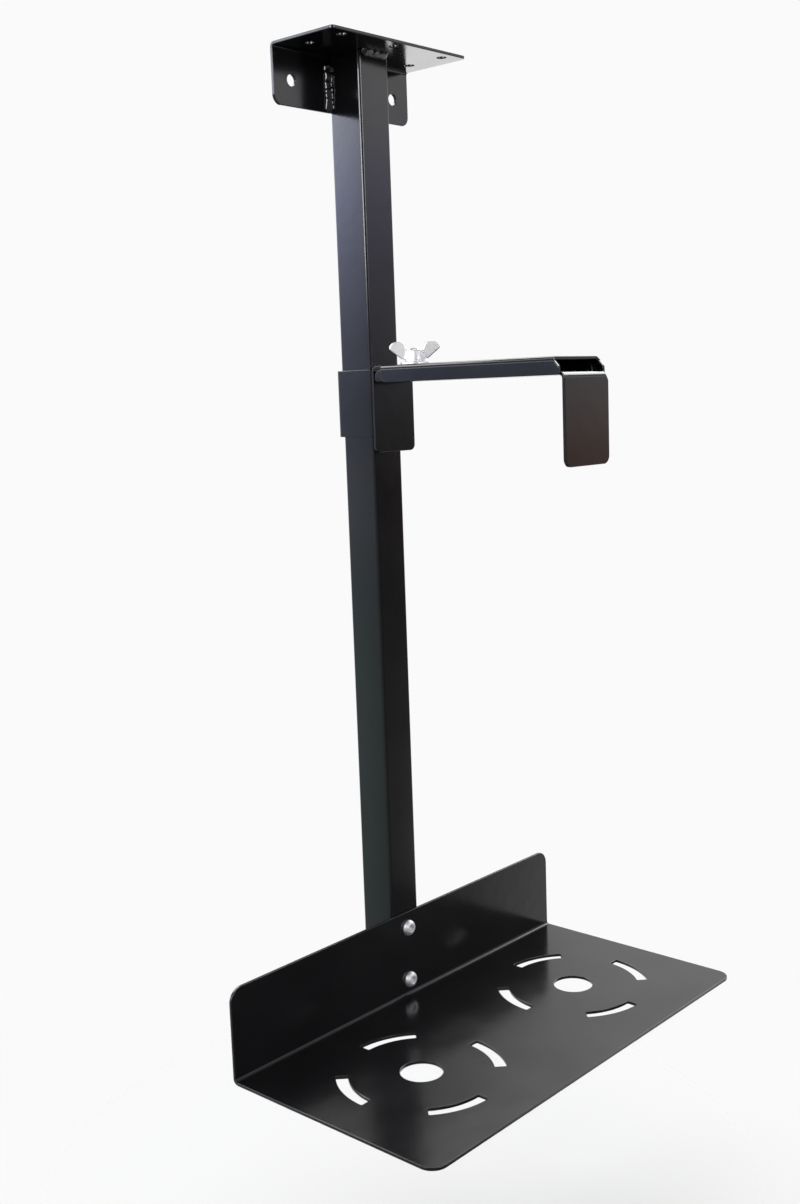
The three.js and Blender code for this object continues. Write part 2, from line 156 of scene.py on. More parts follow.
# Carriage
SLEEVE_TOP = -195.0
SLEEVE = 31.3
SLEEVE_BORE = 27.3
SLEEVE_CORNER = 3.0
SLEEVE_BORE_CORNER = 1.0
SLEEVE_TALL = 42.0
ARM_SIDE = 23.0
ARM_TALL = 10.5
ARM_END = -164.0
ARM_START = -29.65
ARM_BEND = 1.0
JAW_BEND = 2.0
INNER_JAW = (-15.7, 21.3)
INNER_JAW_TALL = 54.0
TRACK_WIDE = 6.6
TRACK = (-128.65, -38.65)
SLIDE_SIDE = 20.7
SLIDE_START = -23.15
SLIDE_TOE = -158.0
SLIDE_RIM = -196.0
OUTER_JAW_RIGHT = 22.8
OUTER_JAW_TALL = 62.0
OUTER_JAW_SHOULDER = 4.7
STUD = -38.65
STUD_TAIL = 1.0
COLLAR = 4.5
COLLAR_TALL = 1.2

# Wing nut: half its span, its height, its sheet and turn, the hub and the blade's lower edge
WING = 15.8
WING_TALL = 12.6
WING_SHEET = 1.8
WING_TURN = math.radians(-47.8)
HUB_FOOT = 6.25
HUB_NECK = 4.75
HUB_TALL = 7.5
WING_TOE = 8.2
WING_ROOT = (8.2, 1.9)
WING_VOXEL = 0.25

# M6 hardware: the thread's radius and play, its steps around and along, and the pieces on it
THREAD = 3.0
THREAD_PLAY = 0.1
PITCH = 1.0
THREAD_DEEP = 0.52
THREAD_ROUND = 26
THREAD_SLICES = 8
HEX_STEPS = 12
NUT_FLATS = 10.0
NUT_TALL = 5.0
NUT_BORE = 3.02
WASHER_TALL = 1.6
WASHER_BORE = 3.3
TRAY_WASHER = 6.0
CLAMP_WASHER = 9.0
BUTTON_WIDE = 10.5
BUTTON_TALL = 3.3
SOCKET = 4.0
SOCKET_DEEP = 2.0

# Lock screw: its hexagon head, the radii of the head's face and dimple, and its gap to the nut
SCREW_FLATS = 10.0
SCREW_TALL = 4.0
SCREW_FACE = 4.7
SCREW_DIMPLE = 3.2
SCREW_OFF = 2.5


# Camera

def place_camera():
    data = bpy.data.cameras.new("camera")
    data.sensor_width = SENSOR
    data.lens = LENS
    camera = bpy.data.objects.new("camera", data)
    bpy.context.scene.collection.objects.link(camera)
    turn = Matrix.Rotation(CAMERA_AZIMUTH, 4, "Z")
    turn = turn @ Matrix.Rotation(math.pi / 2 - CAMERA_ELEVATION, 4, "X")
    turn = turn @ Matrix.Rotation(CAMERA_ROLL, 4, "Z")
    camera.matrix_world = Matrix.Translation(CAMERA_PLACE) @ turn
    bpy.context.scene.camera = camera


# Node trees

class Tree:
    """Adds nodes and links to a node tree."""

    def __init__(self, tree):
        self.tree = tree
        tree.nodes.clear()

    def add(self, kind, settings=None, **inputs):
        node = self.tree.nodes.new(kind)
        for name, value in (settings or {}).items():
            setattr(node, name, value)
        for name, value in inputs.items():
            self.put(node, name.replace("_", " "), value)
        return node

    def put(self, node, name, value):
        socket = node.inputs[int(name)] if name.isdigit() else node.inputs[name]
        if isinstance(value, bpy.types.NodeSocket):
            self.tree.links.new(value, socket)
        else:
            socket.default_value = value

    def math(self, operation, first, second=0.0):
        node = self.add("ShaderNodeMath", {"operation": operation})
        self.put(node, "0", first)
        self.put(node, "1", second)
        return node.outputs[0]

    def scaled(self, value, from_low, from_high, to_low, to_high, kind="LINEAR"):
        node = self.add("ShaderNodeMapRange", {"interpolation_type": kind, "clamp": True})
        ends = {"From Min": from_low, "From Max": from_high, "To Min": to_low, "To Max": to_high}
        for name, number in ends.items():
            node.inputs[name].default_value = number
        self.put(node, "Value", value)
        return node.outputs["Result"]

    def noise(self, vector, scale, detail=2.0, roughness=0.5):
        node = self.add(
            "ShaderNodeTexNoise", Scale=scale, Detail=detail, Roughness=roughness, Vector=vector,
        )
        return node.outputs["Fac"]

    def ramp(self, value, stops):
        node = self.add("ShaderNodeValToRGB", Fac=value)
        elements = node.color_ramp.elements
        while len(elements) > 1:
            elements.remove(elements[0])
        elements[0].position, elements[0].color = stops[0][0], (*stops[0][1], 1)
        for position, colour in stops[1:]:
            elements.new(position).color = (*colour, 1)
        return node.outputs["Color"]

    def mixed(self, share, first, second, blend="MIX"):
        node = self.add("ShaderNodeMix", {"data_type": "RGBA", "blend_type": blend})
        self.put(node, "0", share)
        self.put(node, "6", first)
        self.put(node, "7", second)
        return node.outputs[2]


def new_material(name):
    material = bpy.data.materials.new(name)
    material.use_nodes = True
    tree = Tree(material.node_tree)
    shader = tree.add("ShaderNodeBsdfPrincipled")
    output = tree.add("ShaderNodeOutputMaterial")
    tree.put(output, "Surface", shader.outputs[0])
    place = tree.add("ShaderNodeTexCoord").outputs["Object"]
    return material, tree, shader, place


def bump(tree, shader, height, distance):
    node = tree.add("ShaderNodeBump", Strength=1.0, Distance=distance, Height=height)
    tree.put(shader, "Normal", node.outputs[0])


def powder_coat():
    """Black semi-gloss powder: fine orange peel, soft waves and slight changes of sheen."""
    material, tree, shader, place = new_material("powder_coat")
    shader.inputs["IOR"].default_value = 1.53
    peel = tree.noise(place, 1400, 2)
    wave = tree.noise(place, 95, 1)
    cloud = tree.noise(place, 28, 3)
    colour = tree.ramp(cloud, [(0.3, (0.0042, 0.0043, 0.0052)), (0.7, (0.006, 0.0061, 0.0072))])
    tree.put(shader, "Base Color", colour)
    broad = tree.scaled(cloud, 0.3, 0.7, 0.14, 0.18)
    fine = tree.scaled(peel, 0.3, 0.7, -0.02, 0.02)
    tree.put(shader, "Roughness", tree.math("ADD", broad, fine))
    height = tree.math("ADD", peel, tree.math("MULTIPLY", wave, 3.0))
    bump(tree, shader, height, 0.012 * MM)
    return material


def weld_coat():
    """The same coat run glossy over the weld metal."""
    material, tree, shader, place = new_material("weld_coat")
    shader.inputs["IOR"].default_value = 1.6
    grain = tree.noise(place, 1200, 2)
    cloud = tree.noise(place, 420, 2)
    colour = tree.ramp(cloud, [(0.35, (0.004, 0.004, 0.005)), (0.75, (0.007, 0.007, 0.008))])
    tree.put(shader, "Base Color", colour)
    tree.put(shader, "Roughness", tree.scaled(grain, 0.3, 0.7, 0.07, 0.14))
    bump(tree, shader, grain, 0.002 * MM)
    return material


def zinc_plate():
    """Bright zinc: faint yellow and blue clouds, fine drawn scratches."""
    material, tree, shader, place = new_material("zinc_plate")
    shader.inputs["Metallic"].default_value = 1.0
    cloud = tree.noise(place, 260, 3)
    colour = tree.ramp(cloud, [
        (0.3, (0.8, 0.81, 0.84)), (0.55, (0.9, 0.9, 0.9)), (0.75, (0.9, 0.88, 0.84)),
    ])
    tree.put(shader, "Base Color", colour)
    stretch = tree.add("ShaderNodeMapping", Vector=place, Scale=(2600, 2600, 300)).outputs[0]
    scratch = tree.noise(stretch, 1.0, 3)
    tree.put(shader, "Roughness", tree.scaled(scratch, 0.3, 0.7, 0.46, 0.58))
    bump(tree, shader, tree.math("ADD", scratch, cloud), 0.01 * MM)
    return material


def moulded_plastic():
    """Black polyethylene with a fine spark-eroded grain."""
    material, tree, shader, place = new_material("moulded_plastic")
    shader.inputs["IOR"].default_value = 1.5
    grain = tree.noise(place, 2200, 4, 0.7)
    colour = tree.ramp(grain, [(0.3, (0.010, 0.010, 0.011)), (0.7, (0.018, 0.018, 0.019))])
    tree.put(shader, "Base Color", colour)
    tree.put(shader, "Roughness", tree.scaled(grain, 0.3, 0.7, 0.5, 0.62))
    bump(tree, shader, grain, 0.04 * MM)
    return material


# World, floor and lamps

def azimuth(degrees):
    """The place of an azimuth, counted from +X, on a scale from 0 to 1."""
    return (degrees + 180) / 360


def rising(degrees):
    """The place of an elevation on the height scale, from straight down (0) to straight up (1)."""
    return 0.5 + 0.5 * math.sin(math.radians(degrees))


def grey(level):
    return (level, level, level)


def light_world():
    """The world that the object mirrors, by azimuth and elevation. A white sweep stands behind the
    object, a bright side at the left, a dark room at the right and a dim sector behind the camera.
    Two windows flank that sector and two strips hang high. Camera rays see plain white."""
    world = bpy.data.worlds.new("studio")
    bpy.context.scene.world = world
    world.use_nodes = True
    tree = Tree(world.node_tree)
    direction = tree.add("ShaderNodeTexCoord").outputs["Generated"]
    axes = tree.add("ShaderNodeSeparateXYZ", Vector=direction).outputs
    height = tree.scaled(axes["Z"], -1, 1, 0, 1)
    angle = tree.scaled(tree.math("ARCTAN2", axes["Y"], axes["X"]), -math.pi, math.pi, 0, 1)

    def by_height(*stops):
        return tree.ramp(height, [(rising(degrees), colour) for degrees, colour in stops])

    def by_azimuth(*stops):
        return tree.ramp(angle, [(azimuth(degrees), colour) for degrees, colour in stops])

    def window(edges, levels):
        """A share that is 1 inside the edges of both ramps and 0 outside them."""
        across = by_azimuth(*((degrees, grey(share)) for degrees, share in edges))
        up = by_height(*((degrees, grey(share)) for degrees, share in levels))
        return tree.math("MULTIPLY", across, up)

    backdrop = by_height(
        (-50, grey(0.1)), (-30, grey(0.3)), (-20, grey(2.0)), (-14, grey(2.3)), (-8, grey(1.6)),
        (-3, grey(WHITE)), (50, grey(WHITE)), (56, grey(0.3)),
    )
    glow = by_azimuth(
        (30, grey(1.0)), (35, grey(0.9)), (38, grey(0.65)), (42, grey(0.28)), (46, grey(0.12)),
    )
    above = window([(0, 1)], [(15, 0), (18, 1), (50, 1), (55, 0)])
    sweep = tree.mixed(above, backdrop, glow)
    bright_side = by_height(
        (-24, (0.42, 0.5, 0.5)), (-12.5, (0.56, 0.68, 0.67)), (-8.5, (0.44, 0.56, 0.56)),
        (-3.2, (0.84, 0.88, 1.0)), (-1.6, (0.54, 0.58, 0.8)), (0.9, (0.56, 0.6, 0.86)),
        (2, (1.0, 1.1, 1.45)), (4.5, (1.26, 1.3, 1.83)), (7.6, (2.6, 2.8, 4.1)),
        (9.4, (3.6, 3.8, 5.2)), (12, (6, 6.2, 7)), (14, (5.8, 6.0, 6.6)), (16, grey(0.6)),
        (55, grey(0.3)),
    )
    fall = by_azimuth(
        (-179, grey(0.6)), (100, grey(1.35)), (128, grey(1.3)), (137, grey(0.92)), (140, grey(0.5)),
        (142, grey(0.62)), (144, grey(0.66)),
    )
    left = tree.mixed(1.0, bright_side, fall, "MULTIPLY")
    near = by_height(
        (-28, grey(0.06)), (-21, grey(0.08)), (-19, grey(0.22)), (-12, grey(0.14)),
        (-3, grey(0.05)), (-0.7, grey(0.2)), (2, (0.5, 0.48, 0.55)), (4.5, (0.5, 0.5, 0.56)),
        (7.6, (0.83, 0.76, 1.2)), (11, grey(1.5)), (15, grey(1.4)), (20, grey(0.35)),
        (55, grey(0.3)),
    )
    far = by_height(
        (-28, grey(1.0)), (-20, grey(0.9)), (-12, grey(0.3)), (-5, (0.4, 0.2, 0.14)),
        (-2.4, (0.6, 0.34, 0.24)), (-1.1, (0.72, 0.6, 0.56)), (0.4, grey(0.8)), (4.5, grey(0.6)),
        (11, grey(1.2)), (20, grey(0.35)), (55, grey(0.3)),
    )
    is_far = by_azimuth((-40, grey(0)), (-36, grey(1)))
    right = tree.mixed(is_far, near, far)
    is_left = by_azimuth((-172, grey(1)), (-158, grey(0)), (95, grey(0)), (115, grey(1)))
    is_right = by_azimuth((-172, grey(0)), (-158, grey(1)), (-20, grey(1)), (2, grey(0)))
    room = tree.mixed(is_right, tree.mixed(is_left, sweep, left), right)
    lights = (
        # The dim sector behind the camera
        ([(-158, 0), (-152, 1), (-112, 1), (-106, 0)], [(0, 1)], grey(0.3)),
        # The dim window at its left and the bright one at its right
        (
            [(-166, 1), (-160, 0), (162, 0), (168, 1)],
            [(-1, 0), (0, 0.16), (4, 0.55), (6, 1), (18, 1), (24, 0)], (1.2, 1.2, 1.25),
        ),
        (
            [(-106, 0), (-101, 1), (-86, 1), (-80, 0)],
            [(5, 0), (7.6, 0.7), (9, 1), (18, 1), (24, 0)], (8, 8, 8.5),
        ),
        # The strip over the sweep and the one at its right
        ([(10, 0), (18, 1), (112, 1), (120, 0)], [(33, 0), (35, 1), (51, 1), (54, 0)], grey(5.5)),
        ([(-26, 0), (-20, 1), (16, 1), (24, 0)], [(26, 0), (28, 1), (40, 1), (44, 0)], grey(7)),
    )
    for edges, levels, colour in lights:
        room = tree.mixed(window(edges, levels), room, (*colour, 1))
    studio = tree.add("ShaderNodeBackground", Color=room)
    plain = tree.add("ShaderNodeBackground", Color=(WHITE, WHITE, WHITE, 1))
    behind = window([(2, 0), (12, 1), (85, 1), (95, 0)], [(-5, 0), (-3, 1), (15, 1), (17, 0)])
    path = tree.add("ShaderNodeLightPath").outputs
    seen = tree.math("MAXIMUM", path["Is Camera Ray"], path["Is Transmission Ray"])
    seen = tree.math("MAXIMUM", seen, tree.math("MULTIPLY", path["Is Glossy Ray"], behind))
    mix = tree.add("ShaderNodeMixShader", Fac=seen)
    tree.put(mix, "1", studio.outputs[0])
    tree.put(mix, "2", plain.outputs[0])
    tree.put(tree.add("ShaderNodeOutputWorld"), "Surface", mix.outputs[0])


def pale_floor():
    """A floor that keeps the shadow near the object and fades into the white further out."""
    mesh = bpy.data.meshes.new("floor")
    shape = bmesh.new()
    bmesh.ops.create_circle(shape, cap_ends=True, radius=FLOOR_RADIUS, segments=96)
    shape.to_mesh(mesh)
    shape.free()
    floor = bpy.data.objects.new("floor", mesh)
    bpy.context.scene.collection.objects.link(floor)
    floor.location.z = cad_low.z - FLOOR_DROP
    material, tree, shader, place = new_material("pale_floor")
    shader.inputs["Base Color"].default_value = (FLOOR_ALBEDO, FLOOR_ALBEDO, FLOOR_ALBEDO, 1)
    shader.inputs["Roughness"].default_value = 0.9
    shader.inputs["Specular IOR Level"].default_value = 0.1
    length = tree.add("ShaderNodeVectorMath", {"operation": "LENGTH"})
    tree.put(length, "0", place)
    fade = tree.scaled(length.outputs["Value"], *FLOOR_FADE, FLOOR_CLEAR, 1, "SMOOTHSTEP")
    clear = tree.add("ShaderNodeBsdfTransparent")
    mix = tree.add("ShaderNodeMixShader", Fac=fade)
    tree.put(mix, "1", shader.outputs[0])
    tree.put(mix, "2", clear.outputs[0])
    output = next(node for node in tree.tree.nodes if node.type == "OUTPUT_MATERIAL")
    tree.put(output, "Surface", mix.outputs[0])
    mesh.materials.append(material)
    floor.visible_glossy = False


def softbox(name, place, aim, size, power):
    data = bpy.data.lights.new(name, "AREA")
    data.shape = "RECTANGLE"
    data.size, data.size_y = size
    data.energy = power
    lamp = bpy.data.objects.new(name, data)
    lamp.location = place
    lamp.rotation_euler = (Vector(aim) - Vector(place)).to_track_quat("-Z", "Y").to_euler()
    lamp.visible_camera = False
    bpy.context.scene.collection.objects.link(lamp)
    return lamp


# A shape is a list of places, a list of their normals (or None) and a list of faces.

def joined(*shapes):
    places, faces = [], []
    for more_places, _, more_faces in shapes:
        faces.extend([[n + len(places) for n in face] for face in more_faces])
        places.extend(more_places)
    return places, None, faces


def moved(shape, matrix):
    places, normals, faces = shape
    turn = matrix.to_3x3()
    normals = normals and [(turn @ n).normalized() for n in normals]
    return [matrix @ p for p in places], normals, faces


def shifted(shape, x, y, z):
    return moved(shape, Matrix.Translation((x, y, z)))


def make(node, shape, material):
    """A piece that stands for a CAD node, moves with its body and takes the given material."""
    places, normals, faces = shape
    mesh = bpy.data.meshes.new(node)
    mesh.from_pydata([tuple(p * MM) for p in places], [], faces)
    mesh.materials.append(material)
    mesh.polygons.foreach_set("use_smooth", [True] * len(mesh.polygons))
    if normals:
        mesh.normals_split_custom_set_from_vertices([tuple(n) for n in normals])
    piece = bpy.data.objects.new(node + "_piece", mesh)
    bpy.context.scene.collection.objects.link(piece)
    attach(piece, BODIES[node])
    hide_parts(node)
    return piece


def settle(piece, angle=SMOOTH):
    """Turns all faces outward and smooths all but the real edges."""
    shape = bmesh.new()
    shape.from_mesh(piece.data)
    bmesh.ops.remove_doubles(shape, verts=shape.verts, dist=0.001 * MM)
    bmesh.ops.recalc_face_normals(shape, faces=shape.faces)
    shape.to_mesh(piece.data)
    shape.free()
    piece.data.set_sharp_from_angle(angle=math.radians(angle))


# Outlines are counter-clockwise loops of (place, outward normal).

def ray(turn):
    return Vector((math.cos(turn), math.sin(turn)))


def rounded(corners, steps=CORNER_STEPS):
    """A closed outline of corners (u, v, radius)."""
    loop = []
    count = len(corners)
    for n, (u, v, radius) in enumerate(corners):
        corner = Vector((u, v))
        back = (Vector(corners[n - 1][:2]) - corner).normalized()
        ahead = (Vector(corners[(n + 1) % count][:2]) - corner).normalized()
        convex = back.x * ahead.y - back.y * ahead.x < 0
        half = math.acos(max(-1, min(1, back.dot(ahead)))) / 2
        centre = corner + (back + ahead).normalized() * radius / math.sin(half)
        start = corner + back * radius / math.tan(half) - centre
        sweep = (math.pi - 2 * half) * (1 if convex else -1)
        first = math.atan2(start.y, start.x)
        for k in range(steps + 1):
            out = ray(first + sweep * k / steps)
            loop.append((centre + out * radius, out if convex else -out))
    return loop


def box_outline(left, right, low, high, radii):
    corners = ((left, low), (right, low), (right, high), (left, high))
    return rounded([(u, v, radius) for (u, v), radius in zip(corners, radii)])


def square(width, corner):
    half = width / 2
    return box_outline(-half, half, -half, half, [corner] * 4)


def bowed(loop, half, bow):
    """A square outline with places along its sides, which stand proud in their middle."""
    result = []
    lean = bow / half
    for n, (place, normal) in enumerate(loop):
        after = loop[(n + 1) % len(loop)][0]
        count = FACE_STEPS if (after - place).length > half else 1
        for k in range(count):
            spot = place.lerp(after, k / count)
            u, v = spot / half
            turn = 2 * lean * u * v
            sink_x, sink_y = lean * v * v, lean * u * u
            out = Vector((
                normal.x * (1 + sink_x) + normal.y * turn,
                normal.y * (1 + sink_y) + normal.x * turn,
            ))
            spot = Vector((spot.x * (1 - sink_x), spot.y * (1 - sink_y)))
            result.append((spot, out.normalized()))
    return result


def round_hole(u, v, width, steps=56):
    loop = []
    for k in range(steps):
        out = ray(math.tau * k / steps)
        loop.append((Vector((u, v)) + out * width / 2, out))
    return loop


def long_hole(u, low, high, width, steps=20):
    loop = []
    for centre, first in ((low, math.pi), (high, 0)):
        for k in range(steps + 1):
            out = ray(first + math.pi * k / steps)
            loop.append((Vector((u, centre)) + out * width / 2, out))
    return loop


def arc_hole(u, v, inner, wide, first, sweep, corner=0.5, steps=26):
    """A curved slot with nearly sharp ends."""
    outer = inner + wide
    loop = []

    def fillet(radius, turn, begin):
        for k in range(5):
            out = ray(turn + begin + math.pi / 2 * k / 4)
            loop.append((Vector((u, v)) + ray(turn) * radius + out * corner, out))

    lean = corner / outer
    fillet(outer - corner, first + lean, -math.pi / 2)
    for k in range(1, steps):
        turn = first + lean + (sweep - 2 * lean) * k / steps
        loop.append((Vector((u, v)) + ray(turn) * outer, ray(turn)))
    fillet(outer - corner, first + sweep - lean, 0)
    lean = corner / inner
    fillet(inner + corner, first + sweep - lean, math.pi / 2)
    for k in range(1, steps):
        turn = first + sweep - lean - (sweep - 2 * lean) * k / steps
        loop.append((Vector((u, v)) + ray(turn) * inner, -ray(turn)))
    fillet(inner + corner, first + lean, math.pi)
    return loop


def cut_at(loop, axis, levels):
    """Adds places where the outline crosses the lines of a bend."""
    result = []
    for n, (place, normal) in enumerate(loop):
        result.append((place, normal))
        after, after_normal = loop[(n + 1) % len(loop)]
        span = after[axis] - place[axis]
        if abs(span) < 1e-9:
            continue
        for share in sorted((level - place[axis]) / span for level in levels):
            if 1e-6 < share < 1 - 1e-6:
                out = normal.lerp(after_normal, share).normalized()
                result.append((place.lerp(after, share), out))
    return result


# Bent sheet

class Bend:
    """A quarter bend of the sheet beyond the line u or v = start, on the side given by way (1 or
    -1), toward the upper face (up = 1) or the lower one (up = -1). It holds where reach(u, v) is
    true."""

    def __init__(self, axis, start, way, up, inner, reach=None):
        self.axis, self.start, self.way, self.up = axis, start, way, up
        self.radius = inner + SHEET / 2
        self.reach = reach or (lambda u, v: True)
        self.length = self.radius * math.pi / 2

    def flat(self, height):
        """The flat length beyond the start line of a flange that ends this far off mid plane."""
        return height - self.radius + self.length

    def levels(self):
        return [self.start + self.way * self.length * k / BEND_STEPS for k in range(BEND_STEPS + 1)]

    def holds(self, spot):
        along = (spot[self.axis] - self.start) * self.way
        return -SLACK < along < self.length + SLACK and self.reach(*spot)

    def apply(self, flat, place, normal):
        along = (flat[self.axis] - self.start) * self.way
        if along <= 0 or not self.reach(*flat):
            return place, normal
        turn = min(along, self.length) / self.radius
        rest = max(0, along - self.length)
        arm = self.radius - place[2] * self.up
        place, normal = place.copy(), normal.copy()
        place[self.axis] = self.start + self.way * (arm * math.sin(turn) + rest * math.cos(turn))
        place[2] = self.up * (self.radius - arm * math.cos(turn) + rest * math.sin(turn))
        across, rise = normal[self.axis] * self.way, normal[2] * self.up
        normal[self.axis] = self.way * (across * math.cos(turn) - rise * math.sin(turn))
        normal[2] = self.up * (across * math.sin(turn) + rise * math.cos(turn))
        return place, normal


def inside(point, polygon):
    hit = False
    for n, a in enumerate(polygon):
        b = polygon[n - 1]
        if (a[1] > point[1]) != (b[1] > point[1]):
            if point[0] < (b[0] - a[0]) * (point[1] - a[1]) / (b[1] - a[1]) + a[0]:
                hit = not hit
    return hit


def inner_spot(place, out, inset, bends):
    """A place moved in from the outline. On a bend line it stays on that line."""
    for bend in bends:
        other = 1 - bend.axis
        if bend.holds(place) and abs(out[other]) > 0.5:
            spot = place.copy()
            spot[other] -= inset / out[other]
            return spot
    return place - out * inset


def tiled(rings, rows):
    """Triangles over the flat between the outer ring and the holes, with bend lines as edges."""
    points, edges, boxes = [], [], []
    for ring in rings:
        first = len(points)
        points.extend(ring)
        edges.extend((first + k, first + (k + 1) % len(ring)) for k in range(len(ring)))
        across, along = [p[0] for p in ring], [p[1] for p in ring]
        boxes.append((min(across), max(across), min(along), max(along)))
    for axis, level, low, high in rows:
        on = [
            n for n, p in enumerate(points)
            if abs(p[axis] - level) < SLACK and low - SLACK < p[1 - axis] < high + SLACK
        ]
        on.sort(key=lambda n: points[n][1 - axis])
        edges.extend(zip(on, on[1:]))
    points = [Vector(p) for p in points]
    verts, _, faces, origin, _, _ = geometry.delaunay_2d_cdt(points, edges, [], 0, 1e-6)
    result = []
    for face in faces:
        centre = sum((verts[n] for n in face), Vector((0, 0))) / 3
        if not inside(centre, rings[0]):
            continue
        near = [
            ring for ring, (left, right, low, high) in zip(rings[1:], boxes[1:])
            if left < centre.x < right and low < centre.y < high
        ]
        if any(inside(centre, ring) for ring in near):
            continue
        a, b, c = (verts[n] for n in face)
        corners = [min(origin[n]) for n in face]
        result.append(corners if (b - a).cross(c - a) > 0 else corners[::-1])
    return result


def bent_sheet(outer, holes, bends, thick=SHEET, edge=SHEET_EDGE, steps=EDGE_STEPS):
    """Sheet metal from its flat outline and holes, with round edges, folded by its bends."""
    for bend in bends:
        outer = cut_at(outer, bend.axis, bend.levels())
    loops = [(outer, 1)] + [(hole, -1) for hole in holes]
    profile = []
    for k in range(steps + 1):
        turn = math.pi / 2 * (1 - k / steps)
        profile.append((edge * (1 - math.cos(turn)), thick / 2 - edge * (1 - math.sin(turn)), turn))
    profile += [(inset, -w, -turn) for inset, w, turn in reversed(profile)]
    flat, places, normals, faces, top, low, rings = [], [], [], [], [], [], []
    for loop, side in loops:
        start, count = len(places), len(loop)
        for inset, w, turn in profile:
            for place, normal in loop:
                spot = inner_spot(place, normal * side, inset, bends)
                flat.append(spot)
                places.append(Vector((spot.x, spot.y, w)))
                out = normal * side * math.cos(turn)
                normals.append(Vector((out.x, out.y, math.sin(turn))))
        for ring in range(len(profile) - 1):
            for k in range(count):
                a = start + ring * count + k
                b = start + ring * count + (k + 1) % count
                face = [a, a + count, b + count, b]
                faces.append(face if side > 0 else face[::-1])
        top.extend(range(start, start + count))
        low.extend(range(len(places) - count, len(places)))
        rings.append([tuple(spot) for spot in flat[start:start + count]])
    rows = []
    for bend in bends:
        for level in bend.levels():
            held = [
                p[1 - bend.axis] for p in rings[0]
                if abs(p[bend.axis] - level) < SLACK and bend.reach(*p)
            ]
            if len(held) > 1:
                rows.append((bend.axis, level, min(held), max(held)))
    for a, b, c in tiled(rings, rows):
        faces.append([top[a], top[b], top[c]])
        faces.append([low[c], low[b], low[a]])
    for bend in bends:
        for n, spot in enumerate(flat):
            places[n], normals[n] = bend.apply(spot, places[n], normals[n])
    return places, normals, faces


def tube(width, corner, bore, bore_corner, low, high, edge=TUBE_EDGE, steps=EDGE_STEPS):
    """A square tube along Z with round rims."""
    outer = bowed(square(width, corner), width / 2, BOW)
    inner = bowed(square(bore, bore_corner), bore / 2, 0)
    turns = [math.pi / 2 * k / steps for k in range(steps + 1)]
    rims = [(outer, 1, turn) for turn in turns] + [(inner, -1, turn) for turn in reversed(turns)]
    stations = [
        (loop, side, edge * (1 - math.cos(turn)), high - edge * (1 - math.sin(turn)), turn)
        for loop, side, turn in rims
    ]
    stations += [
        (loop, side, inset, low + high - z, -turn)
        for loop, side, inset, z, turn in reversed(stations)
    ]
    places, normals, faces = [], [], []
    count = len(outer)
    for loop, side, inset, z, turn in stations:
        for place, normal in loop:
            spot = place - normal * side * inset
            out = normal * side * math.cos(turn)
            places.append(Vector((spot.x, spot.y, z)))
            normals.append(Vector((out.x, out.y, math.sin(turn))))
    for ring in range(len(stations)):
        here, after = ring * count, (ring + 1) % len(stations) * count
        for k in range(count):
            j = (k + 1) % count
            faces.append([here + k, here + j, after + j, after + k])
    return places, normals, faces


# Turned and threaded pieces, along Z

def rings_along(rings, steps=64, closed=False):
    """A solid from rings of (radius, height); each may be a function of the turn. A closed one has
    no ends: its last ring joins the first."""
    places, faces = [], []
    for radius, height in rings:
        for k in range(steps):
            turn = math.tau * k / steps
            r = radius(turn) if callable(radius) else radius
            z = height(turn) if callable(height) else height
            places.append(Vector((r * math.cos(turn), r * math.sin(turn), z)))
    for n in range(len(rings) - (0 if closed else 1)):
        after = (n + 1) % len(rings) * steps
        for k in range(steps):
            j = (k + 1) % steps
            faces.append([n * steps + k, n * steps + j, after + j, after + k])
    if not closed:
        faces.append(list(range(steps))[::-1])
        faces.append(list(range((len(rings) - 1) * steps, len(rings) * steps)))
    return places, None, faces


def hex_radius(flats, turn, sharp=40):
    """The radius of a hexagon with slightly round corners, the first of them at turn zero."""
    sides = (abs(math.cos(turn - math.pi / 6 - k * math.pi / 3)) for k in range(3))
    return flats / 2 / sum(side ** sharp for side in sides) ** (1 / sharp)


def thread(radius, low, high):
    """A rod with a rounded V thread and chamfered ends."""
    slices = max(2, round((high - low) / PITCH * THREAD_SLICES))
    rings = []
    for s in range(slices + 1):
        z = low + (high - low) * s / slices
        end = min(z - low, high - z)

        def reach(turn, z=z, end=end):
            phase = (z / PITCH - turn / math.tau) % 1
            groove = THREAD_DEEP * (0.5 - 0.5 * math.cos(math.tau * phase)) ** 0.75
            return min(radius - groove, radius - THREAD_DEEP - THREAD_PLAY + end)

        rings.append((reach, z))
    return rings_along(rings, THREAD_ROUND)


def hex_nut(flats, tall, bore):
    """A nut with both faces chamfered."""
    face = flats / 2 * 0.96
    mouth = bore + 0.5

    def across(turn):
        return hex_radius(flats, turn)

    def drop(turn):
        return (across(turn) - face) * 0.5

    return rings_along([
        (bore, 0.5), (mouth, 0.0), (face, 0.0), (across, drop),
        (across, lambda turn: tall - drop(turn)), (face, tall), (mouth, tall), (bore, tall - 0.5),
    ], 6 * HEX_STEPS, closed=True)


def ring(outer, bore, tall, edge=0.2):
    """A washer with broken edges."""
    half = [
        (bore, edge), (bore + edge * 0.3, edge * 0.3), (bore + edge, 0), (outer - edge, 0),
        (outer - edge * 0.3, edge * 0.3), (outer, edge),
    ]
    return rings_along(half + [(r, tall - z) for r, z in reversed(half)], 72, closed=True)


